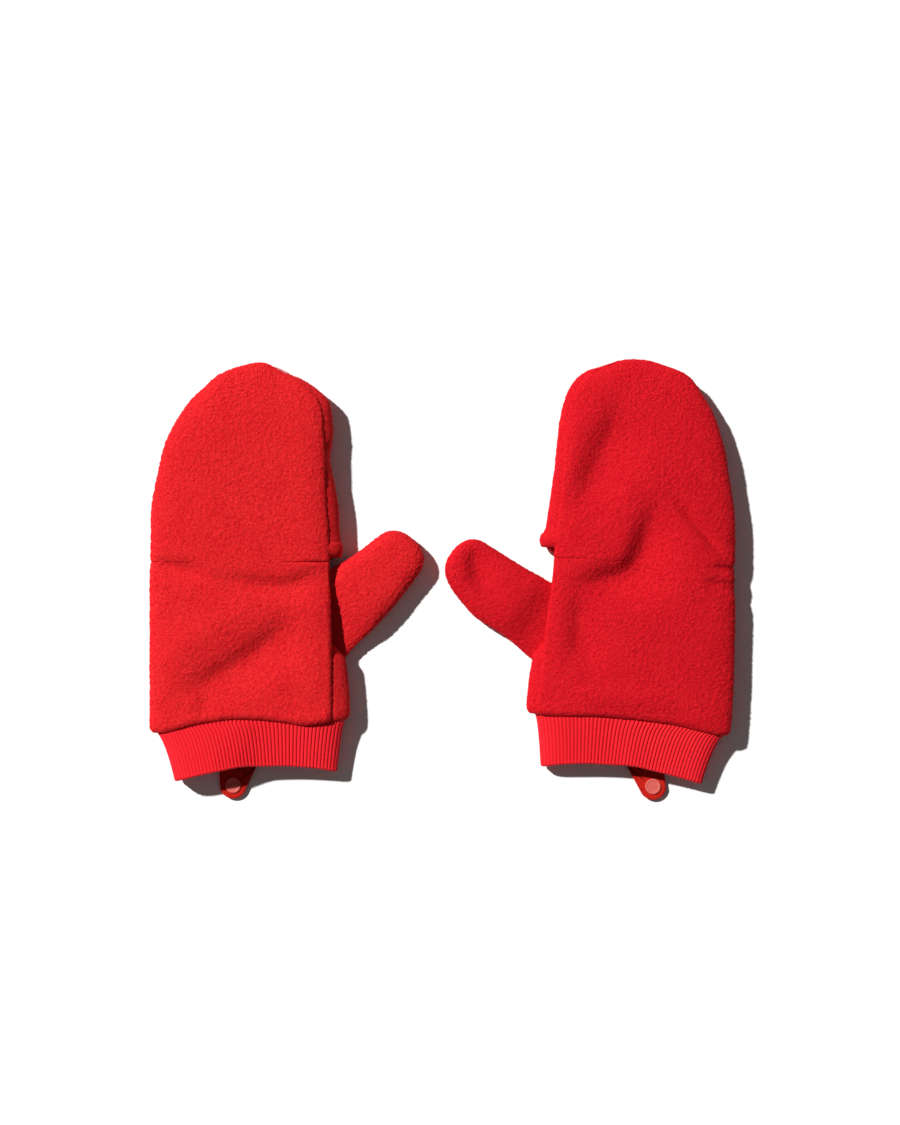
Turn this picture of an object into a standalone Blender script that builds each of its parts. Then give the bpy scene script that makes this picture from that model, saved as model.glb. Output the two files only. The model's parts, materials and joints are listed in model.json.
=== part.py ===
"""A pair of convertible flip-top mittens in fleece, lying on a table with the backs of the hands up.

Each mitten is a fingerless fleece hand with a thumb, a rib-knit cuff and a hood. The hood is sewn to the
back of the hand at the knuckles only, so it flips back off the fingers. A tab inside the cuff carries one
half of a resin snap, which joins the pair.

Metres, +Z up, +X to the right and +Y towards the fingertips. The origin is under the middle of the pair.
One mitten is designed in its own frame: u runs across the hand towards the thumb, v runs along the hand
towards the fingertips, and z is the height above the table. The right mitten is the mirror image.
"""

import math

import bmesh
import bpy

MM = 0.001

# The pair on the table
PAIR_HALF_SPACING = 131.35 * MM
LEAN = {"left": 0.0, "right": math.radians(3)}

# The hand and the hood, in the mitten's frame
KNUCKLE = 12 * MM
WRIST = -94 * MM
TIP = 144.5 * MM
TIP_U = 10 * MM
OUTER_EDGE = -60.5 * MM
THUMB_EDGE = 62 * MM
THUMB_EDGE_HIGH = 58.5 * MM
WRIST_FLARE = 9.5 * MM
OUTER_ROUND_FROM = 37 * MM
THUMB_ROUND_FROM = 75 * MM
THUMB_ROUND_POWER = 2.4
WRIST_TILT = 0.061
CROWN = 23 * MM
WRIST_CROWN = 21.5 * MM
SEAM_HEIGHT = 12 * MM
TOP_POWER = 3.2
BOTTOM_POWER = 5.0
PRESSED_FLAT = 0.6 * MM
SEAM_ANGLE = math.radians(24)
WRIST_SEAM_ANGLE = math.radians(36)

# Cloth
FLEECE = 2.6 * MM
GAP = 0.4 * MM
HALF_GAP = GAP / 2
SEAM_HALF_GAP = math.radians(0.5)
HEM_WIDTH = 7 * MM
HEM_THICKNESS = 3.3 * MM

# The hood's hinge lies just over the knuckle seam
HINGE_HEIGHT = CROWN + 0.5 * MM
SWING_RADIUS = HINGE_HEIGHT - HEM_THICKNESS - 1.8 * MM

# The fingerless sleeve under the hood
SLEEVE_INSET = 4.0 * MM
SLEEVE_NARROWING = 4.5 * MM
SLEEVE_THICKNESS = 2.2 * MM
SLEEVE_ROOT = KNUCKLE - 10 * MM
BINDING_WIDTH = 3.5 * MM

# The rib cuff
CUFF_TOP = WRIST + 5 * MM
CUFF_END = -121.5 * MM
CUFF_WALL = 2.4 * MM
CUFF_TOP_EDGES = (-52.5 * MM, 64 * MM)
CUFF_END_EDGES = (-43 * MM, 62.5 * MM)
CUFF_TOP_CROWN = 18.2 * MM
CUFF_END_CROWN = 15.5 * MM
CUFF_LIFT = 3.0 * MM
CUFF_END_LIFT = 0.3 * MM
CUFF_DROOP = 7 * MM

# The thumb, in its own frame: its pivot is the origin and +X runs to the thumb's tip
THUMB_PIVOT = (66 * MM, -26 * MM)
THUMB_ANGLES = {"left": 49, "right": 32}
THUMB_SWING = (28, 55)
THUMB_LENGTH = 71 * MM
THUMB_HALF_WIDTH = 22 * MM
THUMB_TIP_RADIUS = 16.5 * MM
THUMB_CROWN = 15.5 * MM
THUMB_SEAM_HEIGHT = 7.5 * MM
THUMB_CLEARANCE = 1.0 * MM

# The tab, its fold just outside the cuff, and its snap. The two tabs lie at different slants
FOLD_V = -123.6 * MM
FOLD_U = {"left": -3 * MM, "right": -9.5 * MM}
SNAP_DRIFT = {"left": -4 * MM, "right": -6.5 * MM}
FOLD_TO_SNAP = 11 * MM
TAB_TURN = math.radians(5)
TAB_ROUND = 8.8 * MM
TAB_ROOT_HALF_WIDTH = 12.4 * MM
TAB_THICKNESS = 2.0 * MM
TAB_BOTTOM = 3.0 * MM
TAB_FOLD_HEIGHT = TAB_BOTTOM + TAB_THICKNESS + 0.1 * MM
ANCHOR_LENGTH = 16 * MM
ANCHOR_DRIFT = 4 * MM
SNAP_HOLE = 1.7 * MM
SNAP_CAP_RADIUS = 5.1 * MM

THREAD_RADIUS = 0.3 * MM
THREAD_INSET = 3.6 * MM

FLEECE_RED = (0.80, 0.028, 0.022, 1)
RIB_RED = (0.82, 0.018, 0.035, 1)
THREAD_RED = (0.62, 0.015, 0.015, 1)
SNAP_RED = (0.78, 0.07, 0.06, 1)


def smooth(t):
    t = min(max(t, 0.0), 1.0)
    return t * t * (3 - 2 * t)


def between(a, b, t):
    return a + (b - a) * t


def signed_power(value, power):
    return math.copysign(abs(value) ** power, value)


# ---- The mitten's surfaces ----


def outer_edge(v):
    """u of the little-finger side: straight, then a quarter ellipse to the tip."""
    if v <= OUTER_ROUND_FROM:
        return OUTER_EDGE
    t = (v - OUTER_ROUND_FROM) / (TIP - OUTER_ROUND_FROM)
    return TIP_U + (OUTER_EDGE - TIP_U) * math.sqrt(1 - t * t)


def thumb_edge(v):
    """u of the thumb side: it flares to the wrist and rounds to the tip as a superellipse."""
    if v >= THUMB_ROUND_FROM:
        t = (v - THUMB_ROUND_FROM) / (TIP - THUMB_ROUND_FROM)
        rounding = (1 - t**THUMB_ROUND_POWER) ** (1 / THUMB_ROUND_POWER)
        return TIP_U + (THUMB_EDGE_HIGH - TIP_U) * rounding
    if v >= KNUCKLE:
        return between(THUMB_EDGE, THUMB_EDGE_HIGH, smooth((v - KNUCKLE) / (THUMB_ROUND_FROM - KNUCKLE)))
    return THUMB_EDGE + WRIST_FLARE * smooth((KNUCKLE - v) / (KNUCKLE - WRIST))


def tip_rounding(v, start, power):
    """1 along the hand, falling to 0 at the tip of the hood."""
    t = max(0.0, (v - start) / (TIP - start))
    return (1 - t**power) ** (1 / power)


def body_point(v, angle, inset=0.0):
    """A point of the hand or hood, going round the section at v from the thumb side over the back."""
    reach = 1 - inset / THUMB_EDGE
    half = (thumb_edge(v) - outer_edge(v)) / 2
    centre = (thumb_edge(v) + outer_edge(v)) / 2
    across, up = math.cos(angle), math.sin(angle)
    if up >= 0:
        crown = between(CROWN, WRIST_CROWN, smooth((KNUCKLE - v) / (KNUCKLE - WRIST))) - SEAM_HEIGHT
        crown *= tip_rounding(v, 60 * MM, 2.6)
        u = centre + half * reach * signed_power(across, 2 / TOP_POWER)
        z = SEAM_HEIGHT + crown * (1 - inset / (CROWN - SEAM_HEIGHT)) * up ** (2 / TOP_POWER)
    else:
        depth = SEAM_HEIGHT * tip_rounding(v, 100 * MM, 3.0)
        u = centre + half * reach * signed_power(across, 2 / BOTTOM_POWER)
        fall = min((-up) ** (2 / BOTTOM_POWER) * (1 + PRESSED_FLAT / SEAM_HEIGHT), 1.0)
        z = SEAM_HEIGHT - depth * (1 - inset / SEAM_HEIGHT) * fall
    tilt = WRIST_TILT * smooth((KNUCKLE - v) / (KNUCKLE - WRIST))
    return u, v + tilt * u, z


def hood_point(v, angle, inset=0.0):
    """As body_point, with the tip drawn in by the inset as well."""
    share = 1 - inset / (TIP - KNUCKLE)
    u, _, z = body_point(v, angle, inset)
    return u, KNUCKLE + (v - KNUCKLE) * share, z


def seam_angle(v):
    """The thumb-side seam climbs onto the back of the hand towards the wrist."""
    return between(SEAM_ANGLE, WRIST_SEAM_ANGLE, smooth((-40 * MM - v) / (-40 * MM - WRIST)))


def cuff_point(v, angle, inset=0.0):
    """A point of the rib tube, which narrows, droops at its sides and settles onto the table."""
    t = max(0.0, (WRIST - v) / (WRIST - CUFF_END))
    low = between(CUFF_TOP_EDGES[0], CUFF_END_EDGES[0], t**0.7)
    high = between(CUFF_TOP_EDGES[1], CUFF_END_EDGES[1], t**0.7)
    base = between(CUFF_LIFT, CUFF_END_LIFT, smooth((WRIST - 1 * MM - v) / (11 * MM)))
    crown = between(CUFF_TOP_CROWN, CUFF_END_CROWN, t)
    middle, half, rise = (low + high) / 2, (high - low) / 2, (crown - base) / 2
    across, up = math.cos(angle), math.sin(angle)
    power = 2 / (TOP_POWER if up >= 0 else BOTTOM_POWER)
    u = middle + (half - inset) * signed_power(across, power)
    z = base + rise + (rise - inset) * signed_power(up, power)
    droop = CUFF_DROOP * t * ((u - middle) / half) ** 2
    return u, v + WRIST_TILT * u - droop, z


def thumb_half_width(s):
    straight = THUMB_LENGTH - THUMB_TIP_RADIUS
    width = between(THUMB_HALF_WIDTH, THUMB_TIP_RADIUS, smooth((s - 5 * MM) / (straight - 5 * MM)))
    t = max(0.0, (s - straight) / THUMB_TIP_RADIUS)
    return width * math.sqrt(max(0.0, 1 - t * t))


def thumb_point(s, angle, inset=0.0):
    """A point of the thumb in its own frame, s from the pivot."""
    width = thumb_half_width(s)
    rounding = (width / THUMB_HALF_WIDTH) ** 0.7 if s > THUMB_LENGTH / 2 else 1.0
    across, up = math.cos(angle), math.sin(angle)
    n = width * (1 - inset / THUMB_HALF_WIDTH) * signed_power(across, 2 / 2.8)
    if up >= 0:
        rise = THUMB_CROWN - THUMB_SEAM_HEIGHT
        z = THUMB_SEAM_HEIGHT + rise * rounding * (1 - inset / rise) * up ** (2 / 2.8)
    else:
        depth = THUMB_SEAM_HEIGHT * rounding ** 0.4
        fall = min((-up) ** (2 / BOTTOM_POWER) * (1 + PRESSED_FLAT / SEAM_HEIGHT), 1.0)
        z = THUMB_SEAM_HEIGHT - depth * (1 - inset / THUMB_SEAM_HEIGHT) * fall
    return s * (1 - inset / THUMB_LENGTH), n, z


# ---- Making objects ----


class Frame:
    """An empty that carries pieces. Mirrored frames flip the x of everything placed in them."""

    def __init__(self, name, side, parent=None, place=(0.0, 0.0, 0.0), turn=0.0):
        self.side = side
        self.sign = 1 if side == "left" else -1
        self.empty = bpy.data.objects.new(f"{side}_{name}", None)
        bpy.context.scene.collection.objects.link(self.empty)
        if parent:
            self.empty.parent = parent.empty
        self.empty.location = (self.sign * place[0], place[1], place[2])
        self.empty.rotation_euler = (0, 0, self.sign * turn)
        self.place = place

    def placed(self, points, origin):
        return [(self.sign * (x - origin[0]), y - origin[1], z - origin[2]) for x, y, z in points]

    def link(self, name, data, material):
        data.materials.append(material)
        piece = bpy.data.objects.new(f"{self.side}_{name}", data)
        bpy.context.scene.collection.objects.link(piece)
        piece.parent = self.empty
        return piece

    def add(self, name, points, faces, material, origin=(0.0, 0.0, 0.0)):
        """Makes one piece from points in this frame's coordinates, less origin."""
        mesh = bpy.data.meshes.new(f"{self.side}_{name}")
        mesh.from_pydata(self.placed(points, origin), [], faces)
        bm = bmesh.new()
        bm.from_mesh(mesh)
        bmesh.ops.recalc_face_normals(bm, faces=bm.faces)
        bm.to_mesh(mesh)
        bm.free()
        mesh.shade_smooth()
        mesh.set_sharp_from_angle(angle=math.radians(50))
        return self.link(name, mesh, material)

    def add_thread(self, name, path, material, origin=(0.0, 0.0, 0.0)):
        """Makes a thread along a path, which is a closed loop if its ends meet."""
        closed = math.dist(path[0], path[-1]) < THREAD_RADIUS
        line = self.placed(path[:-1] if closed else path, origin)
        curve = bpy.data.curves.new(f"{self.side}_{name}", "CURVE")
        curve.dimensions = "3D"
        curve.bevel_depth = THREAD_RADIUS
        curve.bevel_resolution = 1
        curve.use_fill_caps = True
        spline = curve.splines.new("POLY")
        spline.points.add(len(line) - 1)
        for point, place in zip(spline.points, line):
            point.co = (*place, 1)
        spline.use_cyclic_u = closed
        return self.link(name, curve, material)


def make_material(name, colour, roughness):
    material = bpy.data.materials.new(name)
    material.use_nodes = True
    shader = material.node_tree.nodes["Principled BSDF"]
    shader.inputs["Base Color"].default_value = colour
    shader.inputs["Roughness"].default_value = roughness
    shader.inputs["Metallic"].default_value = 0.0
    return material


def sheet(outer, inner, columns, rows, ring=False):
    """(points, faces) of a closed sheet of cloth between two surfaces, each a function of two shares from 0 to 1.
    A ring's columns run all the way round."""
    across = columns if ring else columns + 1
    grid = [(i / columns, j / rows) for j in range(rows + 1) for i in range(across)]
    points = [outer(a, b) for a, b in grid] + [inner(a, b) for a, b in grid]
    inside = len(grid)

    def at(i, j):
        return j * across + i % across

    faces = []
    for j in range(rows):
        for i in range(columns):
            quad = (at(i, j), at(i + 1, j), at(i + 1, j + 1), at(i, j + 1))
            faces.append(quad)
            faces.append(tuple(inside + k for k in reversed(quad)))
    for i in range(columns):
        for j in (0, rows):
            faces.append((at(i, j), at(i + 1, j), inside + at(i + 1, j), inside + at(i, j)))
    if not ring:
        for j in range(rows):
            for i in (0, columns):
                faces.append((at(i, j), at(i, j + 1), inside + at(i, j + 1), inside + at(i, j)))
    return points, faces


def slab(outline, low, high):
    """(points, faces) of a flat plate with this outline."""
    n = len(outline)
    points = [(x, y, low) for x, y in outline] + [(x, y, high) for x, y in outline]
    sides = [(i, (i + 1) % n, n + (i + 1) % n, n + i) for i in range(n)]
    return points, [tuple(range(n)), tuple(range(n, 2 * n)), *sides]


def turned(profile, centre, segments=16):
    """(points, faces) of a turned piece. The profile lists (radius, height) and is closed, or ends on the axis."""
    points, rings = [], []
    for radius, height in profile:
        steps = 1 if radius == 0 else segments
        rings.append([len(points) + k for k in range(steps)])
        for k in range(steps):
            a = 2 * math.pi * k / segments
            points.append((centre[0] + radius * math.cos(a), centre[1] + radius * math.sin(a), height))
    on_axis = profile[0][0] == 0
    pairs = zip(rings, rings[1:] if on_axis else rings[1:] + rings[:1])
    faces = []
    for lower, upper in pairs:
        for k in range(segments):
            corners = [lower[k % len(lower)], lower[(k + 1) % len(lower)]]
            corners += [upper[(k + 1) % len(upper)], upper[k % len(upper)]]
            faces.append(tuple(dict.fromkeys(corners)))
    return points, faces


def combine(piece, helper, operation):
    """Cuts helper out of piece or joins it on, and hides helper from the build."""
    helper.hide_render = True
    helper.display_type = "WIRE"
    modifier = piece.modifiers.new(operation.title(), "BOOLEAN")
    modifier.operation = operation
    modifier.object = helper
    modifier.solver = "EXACT"


# ---- The pieces ----


def panel(point, low, high, start, end, inset, columns, rows, ease=False):
    """A sheet over part of a section, from angle low(v) to high(v), along v from start to end."""

    def surface(depth):
        def place(a, b):
            b = math.sin(b * math.pi / 2) if ease else b
            v = between(start, end, b)
            return point(v, between(low(v), high(v), a), depth)

        return place

    return sheet(surface(inset[0]), surface(inset[1]), columns, rows)


def top_low(v):
    return seam_angle(v) + SEAM_HALF_GAP


def top_high(_):
    return math.pi - SEAM_HALF_GAP


def palm_low(_):
    return math.pi


def palm_high(v):
    return 2 * math.pi + seam_angle(v) - SEAM_HALF_GAP


def make_hand(mitten, fleece, thread_red):
    start, end, cloth = WRIST, KNUCKLE - HALF_GAP, (0.0, FLEECE)
    mitten.add("back_panel", *panel(body_point, top_low, top_high, start, end, cloth, 12, 6), fleece)
    palm = mitten.add("palm_panel", *panel(body_point, palm_low, palm_high, start, end, cloth, 16, 6), fleece)
    cutter = mitten.add("thumb_opening", *slab(thumb_opening_outline(), -5 * MM, 35 * MM), fleece)
    combine(palm, cutter, "DIFFERENCE")

    def side_seam(v):
        return body_point(v, math.pi, THREAD_INSET)

    run = [side_seam(between(WRIST + 8 * MM, KNUCKLE - 12 * MM, k / 7)) for k in range(8)]
    mitten.add_thread("outer_side_seam", run, thread_red)
    across = [between(seam_angle(KNUCKLE) + 0.1, math.pi - 0.1, k / 16) for k in range(17)]
    knuckle = [body_point(KNUCKLE - 3 * MM, angle, THREAD_INSET) for angle in across]
    mitten.add_thread("knuckle_seam", knuckle, thread_red)


def thumb_opening_outline():
    """The plan of all that the thumb sweeps: a disc round its pivot and a fan between its two limits."""
    reach = THUMB_HALF_WIDTH + THUMB_CLEARANCE
    low, high = (math.radians(a) for a in THUMB_SWING)
    first, last = high + math.pi / 2, low + 3 * math.pi / 2
    arc = [between(first, last, k / 12) for k in range(13)]
    outline = [(THUMB_PIVOT[0] + reach * math.cos(a), THUMB_PIVOT[1] + reach * math.sin(a)) for a in arc]
    far = 60 * MM
    outline.append((outline[-1][0] + far * math.cos(low), outline[-1][1] + far * math.sin(low)))
    outline.append((outline[0][0] + far * math.cos(high), outline[0][1] + far * math.sin(high)))
    return outline


def sleeve_end(angle):
    """v of the finger opening, which stays inside the circle that the hood's hem sweeps."""
    z = body_point(KNUCKLE, angle, SLEEVE_INSET)[2]
    drop = HINGE_HEIGHT - z
    return KNUCKLE + math.sqrt(max(SWING_RADIUS**2 - drop**2, (2 * MM) ** 2)) - 0.3 * MM


def make_sleeve(mitten, fleece, rib):
    def sleeve(inset, start, end):
        def place(a, b):
            angle = 2 * math.pi * a
            last = sleeve_end(angle)
            v = between(start(last), end(last), b)
            u, _, z = body_point(KNUCKLE, angle, inset)
            return u * (1 - SLEEVE_NARROWING / THUMB_EDGE), v, z

        return place

    deep = SLEEVE_INSET + SLEEVE_THICKNESS
    root, stop = (lambda last: SLEEVE_ROOT), (lambda last: last - BINDING_WIDTH - GAP)
    parts = [sleeve(inset, root, stop) for inset in (SLEEVE_INSET, deep)]
    mitten.add("finger_sleeve", *sheet(*parts, 24, 3, ring=True), fleece)
    edge, lip = (lambda last: last - BINDING_WIDTH), (lambda last: last)
    parts = [sleeve(inset, edge, lip) for inset in (SLEEVE_INSET, deep + 0.5 * MM)]
    mitten.add("finger_opening_binding", *sheet(*parts, 24, 1, ring=True), rib)


def make_cuff(mitten, rib, thread_red):
    def wall(inset):
        return lambda a, b: cuff_point(between(CUFF_TOP, CUFF_END, b), 2 * math.pi * a, inset)

    mitten.add("cuff", *sheet(wall(0.0), wall(CUFF_WALL), 28, 6, ring=True), rib)
    inset = CUFF_WALL + THREAD_RADIUS + GAP
    seam = [cuff_point(WRIST + 2 * MM, 2 * math.pi * k / 24, inset) for k in range(25)]
    mitten.add_thread("cuff_seam", seam, thread_red)


def make_hood(mitten, fleece, thread_red):
    hinge = (0.0, KNUCKLE, HINGE_HEIGHT)
    frame = Frame("hood_hinge", mitten.side, mitten, hinge)
    end = TIP - 0.25 * MM
    top = panel(hood_point, top_low, top_high, KNUCKLE + HALF_GAP, end, (0.0, FLEECE), 12, 10, ease=True)
    frame.add("hood_top", *top, fleece, hinge)
    start = KNUCKLE + HEM_WIDTH + GAP
    palm = panel(hood_point, palm_low, palm_high, start, end, (0.0, FLEECE), 16, 10, ease=True)
    frame.add("hood_palm", *palm, fleece, hinge)
    hem_end = KNUCKLE + HEM_WIDTH
    hem = panel(body_point, palm_low, palm_high, KNUCKLE + HALF_GAP, hem_end, (0.0, HEM_THICKNESS), 16, 1)
    frame.add("hood_hem", *hem, fleece, hinge)
    up = [math.sin(k / 11 * math.pi / 2) for k in range(12)]
    first, last = KNUCKLE + 24 * MM, TIP - 1.0 * MM
    thumb_side = [hood_point(between(first, last, t), SEAM_ANGLE, THREAD_INSET) for t in up]
    outer_side = [hood_point(between(first, last, t), math.pi, THREAD_INSET) for t in reversed(up)]
    frame.add_thread("hood_seam", thumb_side + outer_side, thread_red, hinge)


def make_thumb(mitten, fleece, thread_red):
    turn = math.radians(THUMB_ANGLES[mitten.side])
    frame = Frame("thumb_pivot", mitten.side, mitten, (*THUMB_PIVOT, 0.0), turn)
    end, cloth = THUMB_LENGTH - 0.15 * MM, (0.0, FLEECE)

    def side(value):
        return lambda _: value

    low, high = side(SEAM_HALF_GAP), side(math.pi - SEAM_HALF_GAP)
    frame.add("thumb_back", *panel(thumb_point, low, high, 0.0, end, cloth, 10, 9, ease=True), fleece)
    low, high = side(math.pi), side(2 * math.pi)
    palm = frame.add("thumb_palm", *panel(thumb_point, low, high, 0.0, end, cloth, 10, 9, ease=True), fleece)
    low, high = 0.05 * MM, 2.4 * MM
    plate = turned([(0, low), (THUMB_HALF_WIDTH, low), (THUMB_HALF_WIDTH, high), (0, high)], (0, 0), 24)
    combine(palm, frame.add("thumb_root_plate", *plate, fleece), "UNION")
    up = [math.sin(k / 9 * math.pi / 2) for k in range(10)]
    near = [thumb_point(between(4 * MM, end - 1.5 * MM, t), 0.05, THREAD_INSET) for t in up]
    far = [thumb_point(between(4 * MM, end - 1.5 * MM, t), math.pi - 0.05, THREAD_INSET) for t in reversed(up)]
    frame.add_thread("thumb_seam", near + far, thread_red)


def tab_outline(side):
    """The tab from its fold: straight sides that draw in to a round end about the snap."""
    snap = (SNAP_DRIFT[side], -FOLD_TO_SNAP)
    first, last = math.radians(184), math.radians(326)
    arc = [between(first, last, k / 14) for k in range(15)]
    around = [(snap[0] + TAB_ROUND * math.cos(a), snap[1] + TAB_ROUND * math.sin(a)) for a in arc]
    outline = [(-TAB_ROOT_HALF_WIDTH, -HALF_GAP), *around, (TAB_ROOT_HALF_WIDTH, -HALF_GAP)]
    return outline, snap


def make_tab(mitten, rib, plastic):
    hinge = (0.0, 0.0, TAB_FOLD_HEIGHT)
    fold = (FOLD_U[mitten.side], FOLD_V, TAB_FOLD_HEIGHT)
    frame = Frame("tab_fold", mitten.side, mitten, fold, TAB_TURN)
    top = TAB_BOTTOM + TAB_THICKNESS
    outline, snap = tab_outline(mitten.side)
    strap = frame.add("tab", *slab(outline, TAB_BOTTOM, top), rib, hinge)
    bore = turned([(0, 0), (SNAP_HOLE, 0), (SNAP_HOLE, 8 * MM), (0, 8 * MM)], snap)
    combine(strap, frame.add("snap_bore", *bore, rib, hinge), "DIFFERENCE")
    root = [(-TAB_ROOT_HALF_WIDTH, HALF_GAP), (TAB_ROOT_HALF_WIDTH, HALF_GAP)]
    root += [(x + ANCHOR_DRIFT, ANCHOR_LENGTH) for x, _ in reversed(root)]
    frame.add("tab_anchor", *slab(root, TAB_BOTTOM, top), rib, hinge)

    post = SNAP_HOLE - 0.3 * MM
    seat = top + 0.05 * MM
    cap = [(0, seat + 1.15 * MM), (3.4 * MM, seat + 1.05 * MM), (4.6 * MM, seat + 0.75 * MM)]
    cap += [(SNAP_CAP_RADIUS, seat + 0.35 * MM), (SNAP_CAP_RADIUS, seat), (post, seat)]
    cap += [(post, 2.0 * MM), (0, 2.0 * MM)]
    frame.add("snap_cap", *turned(cap, snap), plastic, hinge)
    under = TAB_BOTTOM - 0.05 * MM
    if mitten.side == "left":
        stud = [(0, 0), (1.5 * MM, 0), (2.1 * MM, 0.5 * MM), (2.1 * MM, 1.4 * MM), (4.3 * MM, 2.0 * MM)]
        stud += [(4.3 * MM, under), (SNAP_HOLE, under), (SNAP_HOLE, 1.7 * MM), (0, 1.7 * MM)]
        frame.add("snap_stud", *turned(stud, snap), plastic, hinge)
    else:
        socket = [(2.4 * MM, 0), (4.4 * MM, 0), (4.9 * MM, 0.5 * MM), (4.9 * MM, under)]
        socket += [(SNAP_HOLE, under), (SNAP_HOLE, 1.6 * MM), (2.4 * MM, 1.6 * MM)]
        frame.add("snap_socket", *turned(socket, snap), plastic, hinge)


def clear_scene():
    for thing in list(bpy.data.objects):
        bpy.data.objects.remove(thing, do_unlink=True)


def centre_pair(mittens):
    """Moves both mittens so that the middle of the pair's plan is over the origin."""
    bpy.context.view_layer.update()
    graph = bpy.context.evaluated_depsgraph_get()
    places = []
    for piece in bpy.data.objects:
        if piece.type == "MESH" and not piece.hide_render:
            mesh = piece.evaluated_get(graph).to_mesh()
            places += [piece.matrix_world @ vertex.co for vertex in mesh.vertices]
    for axis in (0, 1):
        along = [place[axis] for place in places]
        for mitten in mittens:
            mitten.empty.location[axis] -= (min(along) + max(along)) / 2


def main():
    clear_scene()
    fleece = make_material("fleece_red", FLEECE_RED, 0.95)
    rib = make_material("rib_red", RIB_RED, 0.85)
    thread_red = make_material("thread_red", THREAD_RED, 0.6)
    plastic = make_material("snap_red", SNAP_RED, 0.3)
    mittens = []
    for side, lean in LEAN.items():
        mitten = Frame("mitten", side, None, (-PAIR_HALF_SPACING, 0.0, 0.0), lean)
        mittens.append(mitten)
        make_hand(mitten, fleece, thread_red)
        make_sleeve(mitten, fleece, rib)
        make_cuff(mitten, rib, thread_red)
        make_hood(mitten, fleece, thread_red)
        make_thumb(mitten, fleece, thread_red)
        make_tab(mitten, rib, plastic)
    centre_pair(mittens)


main()
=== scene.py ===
"""The looks of a pair of convertible flip-top fleece mittens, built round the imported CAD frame.

Each mitten is shaped in its own frame, in millimetres. u runs across the hand towards the thumb, v runs along
the hand towards the fingertips, and z is the height above the table. The right mitten is the mirror image.
"""

import json
import math

import bpy
import numpy as np
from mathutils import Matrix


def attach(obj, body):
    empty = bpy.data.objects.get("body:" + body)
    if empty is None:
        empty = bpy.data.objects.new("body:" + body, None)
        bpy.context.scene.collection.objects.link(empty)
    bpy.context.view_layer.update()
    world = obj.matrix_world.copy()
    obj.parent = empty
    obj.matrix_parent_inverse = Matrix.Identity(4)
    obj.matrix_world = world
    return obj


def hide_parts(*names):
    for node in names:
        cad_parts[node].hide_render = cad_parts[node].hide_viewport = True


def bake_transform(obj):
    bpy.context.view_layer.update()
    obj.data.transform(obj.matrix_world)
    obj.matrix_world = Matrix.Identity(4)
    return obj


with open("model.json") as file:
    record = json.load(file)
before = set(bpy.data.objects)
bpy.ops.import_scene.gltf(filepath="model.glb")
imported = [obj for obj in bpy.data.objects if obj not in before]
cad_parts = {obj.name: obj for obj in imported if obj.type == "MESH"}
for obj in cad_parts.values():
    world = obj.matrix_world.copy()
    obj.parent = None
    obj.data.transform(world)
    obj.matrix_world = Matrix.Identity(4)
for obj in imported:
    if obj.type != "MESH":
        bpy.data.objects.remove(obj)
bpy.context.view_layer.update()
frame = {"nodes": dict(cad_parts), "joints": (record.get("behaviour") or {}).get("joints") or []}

MM = 0.001
SIDES = ("left", "right")

# The hand and hood, as in the CAD
KNUCKLE, WRIST, TIP, TIP_U = 12.0, -94.0, 144.5, 10.0
OUTER_EDGE, THUMB_EDGE, THUMB_EDGE_HIGH, WRIST_FLARE = -60.5, 62.0, 58.5, 9.5
OUTER_ROUND_FROM, THUMB_ROUND_FROM = 37.0, 75.0
THUMB_ROUND_POWER = {"left": 2.4, "right": 3.0}
WRIST_TILT = 0.061
CROWN, WRIST_CROWN, SEAM_HEIGHT = 23.0, 21.5, 12.0
TOP_POWER, BOTTOM_POWER, FLAT_BOTTOM = 3.2, 5.0, 1.05
TOP_ROUNDING, BOTTOM_ROUNDING = (60, 2.6), (100, 3.0)
FLEECE = 2.6

# The back of the hand laps over the palm on the thumb side
SEAM_U = {"left": ((-94, 60.8), (12, 60.5)), "right": ((-94, 66.8), (-60, 64.2), (12, 60.0))}
SEAM_SHARE = 0.965
LAP_RISE, LAP_TUCK, LAP_DEPTH, LAP_TURN = 3.8, 3.0, 0.085, 1.35
EDGE_LIFT = {"left": 1.3, "right": 0.0}
THUMB_GAP_EDGE = 57.5

# The cuff
CUFF_TOP, CUFF_END, CUFF_WALL = -84.0, -122.3, 2.4
CUFF_TOP_EDGES, CUFF_END_EDGES = (-58.0, 69.0), (-43.0, 62.5)
CUFF_SHIFT, CUFF_SIDE_LIFT = {"left": 0.0, "right": -3.0}, {"left": 5.5, "right": 0.0}
CUFF_TOP_CROWN, CUFF_END_CROWN, CUFF_LIFT, CUFF_END_LIFT, CUFF_DROOP = 18.2, 15.5, 3.0, 0.3, 7.0
RIB_PITCH, RIB_HEIGHT = 2.4, 0.75

# The thumb
THUMB_PIVOT = (66.0, -26.0)
THUMB_ANGLE = {"left": math.radians(49), "right": math.radians(32)}
THUMB_ROOT, THUMB_LENGTH, THUMB_TIP_RADIUS = -24.0, 71.5, 17.0
THUMB_CROWN, THUMB_ROOT_CROWN, THUMB_SEAM_HEIGHT, THUMB_POWER = 15.5, 11.5, 7.5, 2.8

# The finger sleeve, the tab and the snap
SLEEVE_INSET, SLEEVE_THICKNESS, SLEEVE_ROOT, BINDING_WIDTH = 4.0, 2.2, 2.0, 3.5
FOLD_V, FOLD_U = -123.6, {"left": -3.0, "right": -9.5}
SNAP_DRIFT, FOLD_TO_SNAP = {"left": -4.0, "right": -6.5}, 11.0
TAB_TURN, TAB_FLATTENING = math.radians(5), 0.6
TAB_ROUND, TAB_ROOT_HALF_WIDTH, TAB_BOTTOM, TAB_THICKNESS = 8.8, 12.4, 3.0, 2.0
ANCHOR_LENGTH, ANCHOR_DRIFT = 16.0, 4.0
SNAP_CAP_RADIUS = 5.1

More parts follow.
